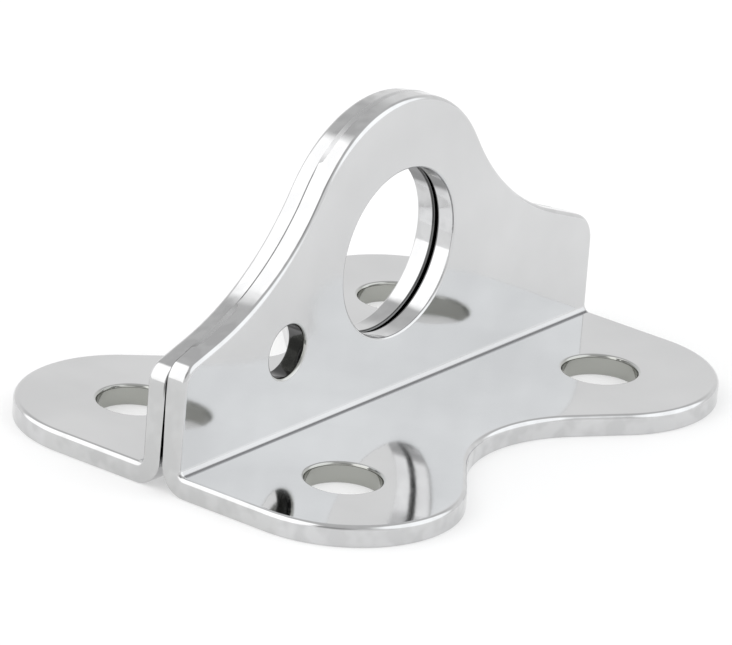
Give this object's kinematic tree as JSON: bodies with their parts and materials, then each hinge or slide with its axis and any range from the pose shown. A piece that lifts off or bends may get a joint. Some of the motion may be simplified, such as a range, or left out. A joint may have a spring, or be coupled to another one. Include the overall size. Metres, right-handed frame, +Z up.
{
  "type": "twin-plate deck eye",
  "caption": "Deck eye of two bent sheet pressings set back to back: an upright tang with a large eye and a small lashing hole on a lobed, screw-down base.",
  "frame": {"origin": "middle of the base screw pattern, on the mounting plane", "axes": "+X along the upright, away from the small lashing hole; +Y from the front pressing to the rear pressing, square to the upright and along the eye's axis; +Z up from the deck"},
  "size_m": [0.06, 0.046, 0.0303],
  "materials": {
    "polished_stainless": "tumbled and polished stainless steel, near mirror, slightly hazy",
    "dressed_weld": "stainless weld ground smooth and polished, slightly mottled"
  },
  "bodies": {
    "root": {"front_plate": "polished_stainless", "rear_plate": "polished_stainless", "crown_weld": "dressed_weld", "left_foot_weld": "dressed_weld", "right_foot_weld": "dressed_weld"}
  },
  "joints": []
}
